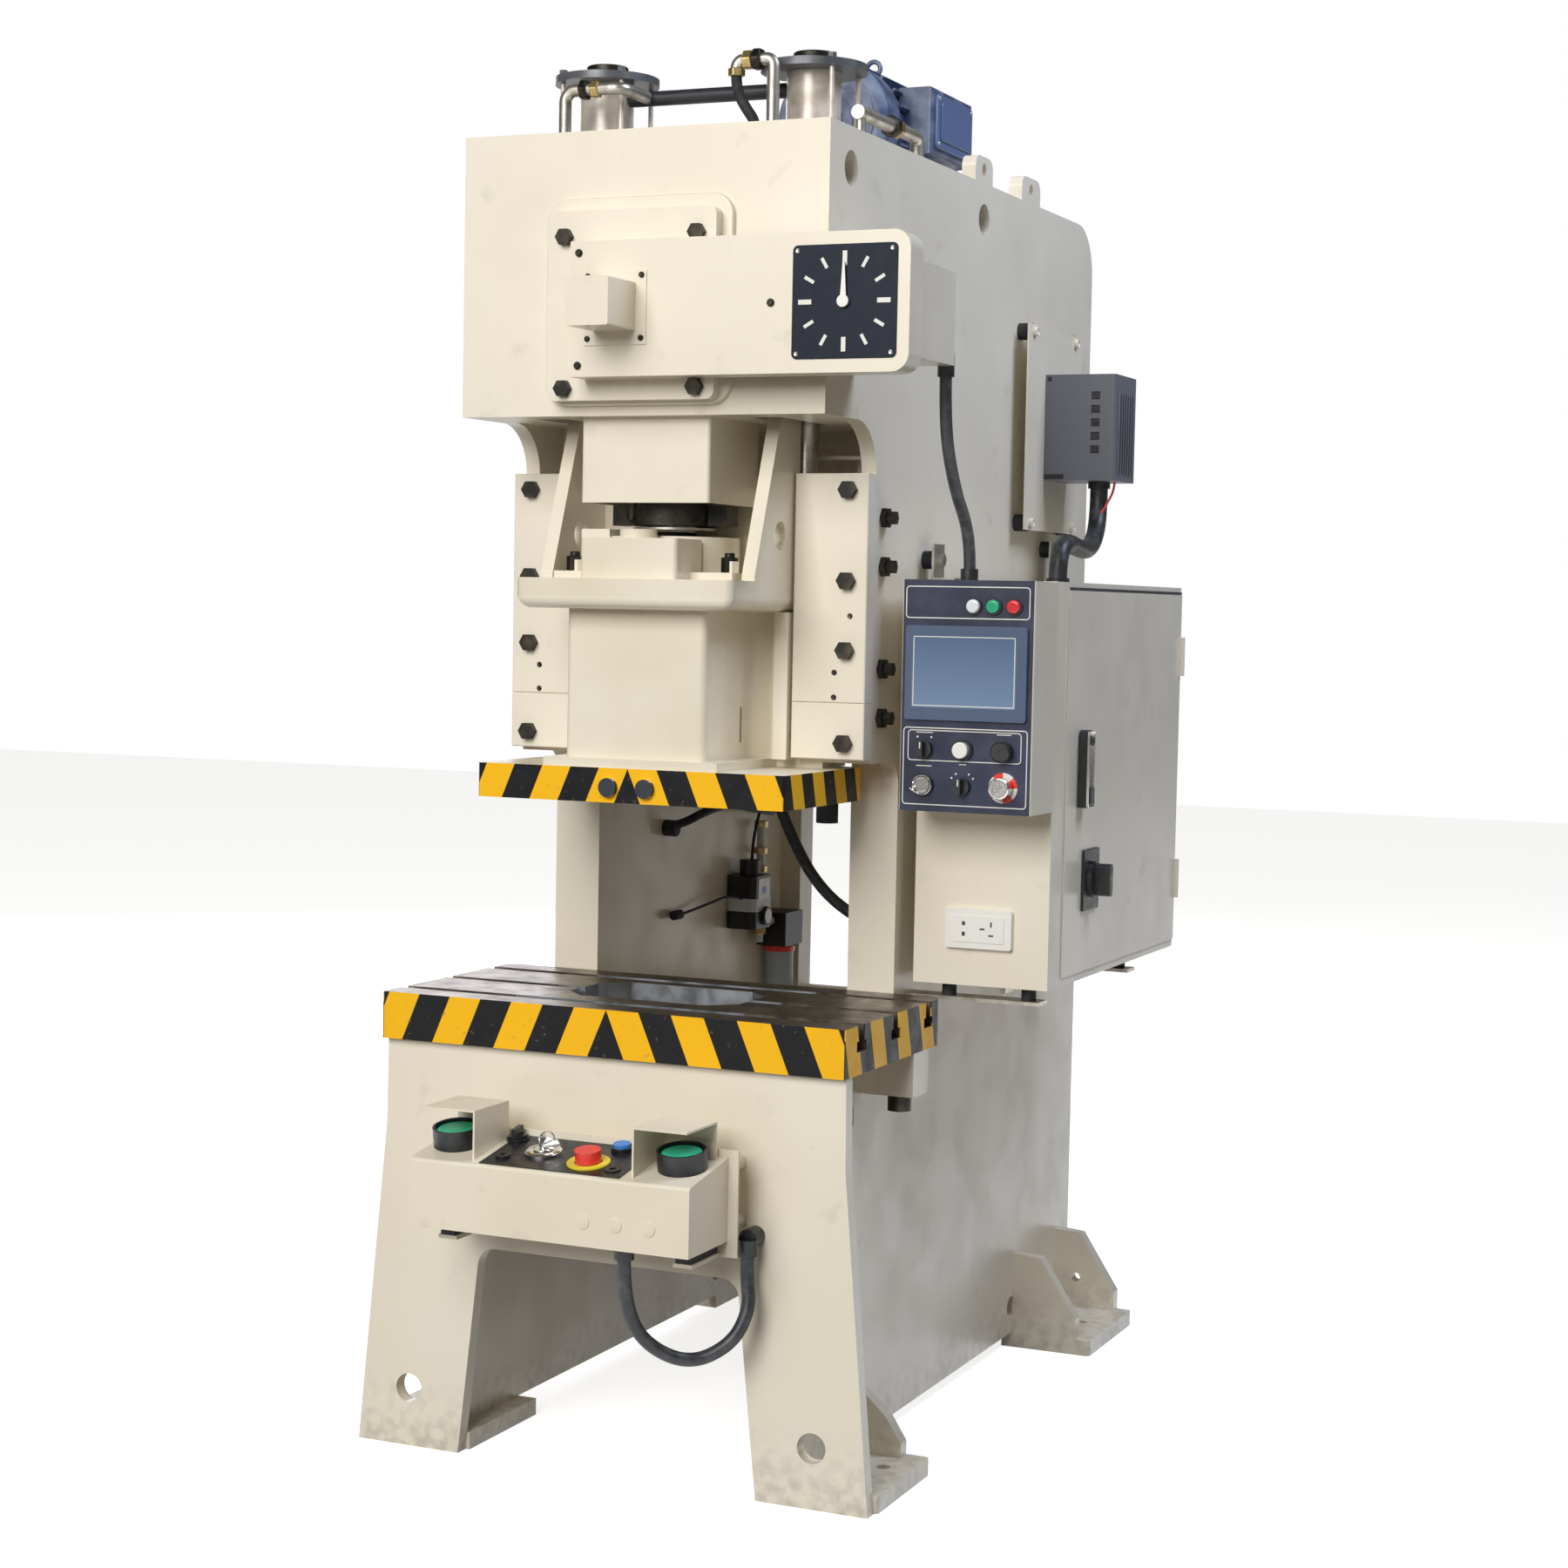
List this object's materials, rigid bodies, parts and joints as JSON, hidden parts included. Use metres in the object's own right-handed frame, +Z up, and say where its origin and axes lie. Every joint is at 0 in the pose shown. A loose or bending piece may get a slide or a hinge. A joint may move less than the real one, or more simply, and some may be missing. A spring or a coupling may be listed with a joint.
{
  "type": "punch press",
  "caption": "Open-front mechanical punch press: crank-driven guided slide over a slotted table, on a C-shaped frame with floor pads, control cabinet and two-hand station.",
  "frame": {"origin": "centre of the four floor anchor holes, at floor level", "axes": "+X to the machine's right, +Y to its back, +Z up"},
  "size_m": [1.0698, 1.55, 2.3635],
  "materials": {
    "cream_enamel": "gloss enamel, lightly dirty",
    "ram_enamel": "gloss enamel on cast iron",
    "table_steel": "dark oiled steel",
    "stripe_paint": "yellow and black warning stripes",
    "black_oxide": "black oxide steel",
    "bright_steel": "ground steel",
    "cast_iron": "cast, machined faces",
    "bronze": "bearing bronze",
    "balancer_steel": "painted and bare steel",
    "galvanised_pipe": "galvanised steel",
    "motor_paint": "dark blue paint",
    "rubber": "black rubber",
    "zinc_plate": "zinc plated",
    "drive_housing": "moulded grey housing",
    "slate_paint": "dark slate panel, cream sides",
    "screen_plastic": "dark frame with a glossy screen",
    "lamp_plastic": "coloured lamp lenses",
    "station_enamel": "enamel with a black top panel",
    "air_unit_plastic": "black plastic and clear bowl",
    "grey_conduit": "coated flexible conduit",
    "black_cable": "sleeved cable bundle",
    "pointer_paint": "white pointer",
    "black_plastic": "moulded black",
    "white_plastic": "moulded white",
    "chrome_switch": "chromed lock",
    "red_plastic": "moulded red",
    "green_plastic": "moulded green",
    "blue_plastic": "moulded blue"
  },
  "bodies": {
    "frame": {"frame_right": "cream_enamel", "frame_left": "cream_enamel", "leg_apron": "cream_enamel", "bed": "cream_enamel", "bolster": "table_steel", "head_box": "cream_enamel", "crank_bushes": "bronze", "rear_cover": "cream_enamel", "gib_plate_right": "cream_enamel", "gib_plate_left": "cream_enamel", "frame_bolts": "black_oxide", "crank_cover": "cream_enamel", "dial_arm": "cream_enamel", "cam_box": "cream_enamel", "crank_end_cap": "cream_enamel", "rod_guard": "cream_enamel", "balance_cylinders": "balancer_steel", "air_pipes": "galvanised_pipe", "motor": "motor_paint", "drive_belts": "rubber", "inverter": "drive_housing", "rubber_buffers": "rubber", "mounting_brackets": "zinc_plate", "cabinet": "cream_enamel", "panel_box": "slate_paint", "touch_screen": "screen_plastic", "signal_lamps": "lamp_plastic", "cable_glands": "zinc_plate", "station_box": "station_enamel", "air_unit": "air_unit_plastic", "arm_conduit": "grey_conduit", "station_conduit": "grey_conduit", "inverter_cable": "black_cable", "air_hose": "rubber"},
    "crank": {"crankshaft": "bright_steel"},
    "rod": {"connecting_rod": "cast_iron"},
    "ring_nut": {"ring_nut": "black_oxide"},
    "slide": {"ram": "ram_enamel", "slide_plate": "stripe_paint", "ball_seat": "ram_enamel", "balance_rods": "bright_steel"},
    "adjusting_screw": {"adjusting_screw": "bright_steel"},
    "pointer": {"dial_pointer": "pointer_paint"},
    "flywheel": {"flywheel": "cast_iron"},
    "motor_rotor": {"motor_pulley": "bright_steel"},
    "cabinet_door": {"cabinet_door": "cream_enamel"},
    "door_handle": {"door_handle": "black_plastic"},
    "isolator_knob": {"isolator_knob": "black_plastic"},
    "mode_selector": {"mode_selector": "black_plastic"},
    "white_button": {"white_button": "white_plastic"},
    "black_knob": {"black_knob": "black_plastic"},
    "key_switch": {"key_switch": "chrome_switch"},
    "lower_selector": {"lower_selector": "black_plastic"},
    "ring_knob": {"ring_knob": "red_plastic"},
    "palm_left": {"palm_left": "green_plastic"},
    "palm_right": {"palm_right": "green_plastic"},
    "station_key": {"station_key": "chrome_switch"},
    "stop_button": {"stop_button": "red_plastic"},
    "blue_button": {"blue_button": "blue_plastic"},
    "station_selector": {"station_selector": "black_plastic"}
  },
  "joints": [
    {"name": "crank_turn", "type": "hinge", "parent": "frame", "child": "crank", "pos_m": [0, -0.465, 1.806], "axis": [0, 1, 0], "range_deg": [0, 180]},
    {"name": "rod_stroke", "type": "slide", "parent": "frame", "child": "rod", "axis": [0, 0, 1], "range_m": [-0.07, 0]},
    {"name": "ring_nut_turn", "type": "hinge", "parent": "rod", "child": "ring_nut", "pos_m": [0, -0.465, 1.5], "axis": [0, 0, 1], "range_deg": [0, 30]},
    {"name": "slide_adjust", "type": "slide", "parent": "rod", "child": "slide", "axis": [0, 0, 1], "range_m": [-0.055, 0]},
    {"name": "screw_turn", "type": "hinge", "parent": "slide", "child": "adjusting_screw", "pos_m": [0, -0.465, 1.446], "axis": [0, 0, 1], "range_deg": [-3301, 1]},
    {"name": "pointer_turn", "type": "hinge", "parent": "frame", "child": "pointer", "pos_m": [0.377, -0.6, 1.806], "axis": [0, 1, 0], "range_deg": [0, 180]},
    {"name": "flywheel_spin", "type": "hinge", "parent": "frame", "child": "flywheel", "pos_m": [0, 0.54, 1.806], "axis": [0, 1, 0], "continuous": true},
    {"name": "motor_spin", "type": "hinge", "parent": "frame", "child": "motor_rotor", "pos_m": [0, 0.54, 2.221], "axis": [0, 1, 0], "continuous": true},
    {"name": "door_swing", "type": "hinge", "parent": "frame", "child": "cabinet_door", "pos_m": [0.5703, 0.477, 1.08], "axis": [0, 0, 1], "range_deg": [0, 110]},
    {"name": "handle_turn", "type": "hinge", "parent": "cabinet_door", "child": "door_handle", "pos_m": [0.567, -0.097, 1.15], "axis": [1, 0, 0], "range_deg": [0, 90]},
    {"name": "isolator_turn", "type": "hinge", "parent": "cabinet_door", "child": "isolator_knob", "pos_m": [0.567, -0.04, 0.918], "axis": [1, 0, 0], "range_deg": [0, 90]},
    {"name": "mode_selector_turn", "type": "hinge", "parent": "frame", "child": "mode_selector", "pos_m": [0.388, -0.348, 1.14], "axis": [0, 1, 0], "range_deg": [-45, 45]},
    {"name": "white_button_press", "type": "slide", "parent": "frame", "child": "white_button", "axis": [0, 1, 0], "range_m": [0, 0.004], "stiffness_N_per_m": 500, "springref_m": -0.002},
    {"name": "black_knob_turn", "type": "hinge", "parent": "frame", "child": "black_knob", "pos_m": [0.521, -0.348, 1.14], "axis": [0, 1, 0], "range_deg": [-140, 140]},
    {"name": "key_switch_turn", "type": "hinge", "parent": "frame", "child": "key_switch", "pos_m": [0.388, -0.348, 1.083], "axis": [0, 1, 0], "range_deg": [0, 90]},
    {"name": "lower_selector_turn", "type": "hinge", "parent": "frame", "child": "lower_selector", "pos_m": [0.453, -0.348, 1.083], "axis": [0, 1, 0], "range_deg": [-45, 45]},
    {"name": "ring_knob_press", "type": "slide", "parent": "frame", "child": "ring_knob", "axis": [0, 1, 0], "range_m": [0, 0.004], "stiffness_N_per_m": 600, "springref_m": -0.002},
    {"name": "palm_left_press", "type": "slide", "parent": "frame", "child": "palm_left", "axis": [0, 0.1692, -0.9856], "range_m": [0, 0.006], "stiffness_N_per_m": 1500, "springref_m": -0.003},
    {"name": "palm_right_press", "type": "slide", "parent": "frame", "child": "palm_right", "axis": [0, 0.1692, -0.9856], "range_m": [0, 0.006], "stiffness_N_per_m": 1500, "springref_m": -0.003},
    {"name": "stop_button_press", "type": "slide", "parent": "frame", "child": "stop_button", "axis": [0, 0.1692, -0.9856], "range_m": [0, 0.004], "stiffness_N_per_m": 900, "springref_m": -0.003},
    {"name": "blue_button_press", "type": "slide", "parent": "frame", "child": "blue_button", "axis": [0, 0.1692, -0.9856], "range_m": [0, 0.004], "stiffness_N_per_m": 500, "springref_m": -0.003},
    {"name": "station_key_turn", "type": "hinge", "parent": "frame", "child": "station_key", "pos_m": [-0.044, -0.791, 0.52619], "axis": [0, -0.1692, 0.9856], "range_deg": [-90, 0]},
    {"name": "station_selector_turn", "type": "hinge", "parent": "frame", "child": "station_selector", "pos_m": [-0.112, -0.748, 0.53357], "axis": [0, -0.1692, 0.9856], "range_deg": [-45, 45]}
  ],
  "couplings": [
    {"joint": "rod_stroke", "follows": "crank_turn", "m_per_rad": -0.022282},
    {"joint": "pointer_turn", "follows": "crank_turn", "ratio": 1},
    {"joint": "screw_turn", "follows": "slide_adjust", "rad_per_m": 1047.2},
    {"joint": "motor_spin", "follows": "flywheel_spin", "ratio": 4.3692}
  ]
}
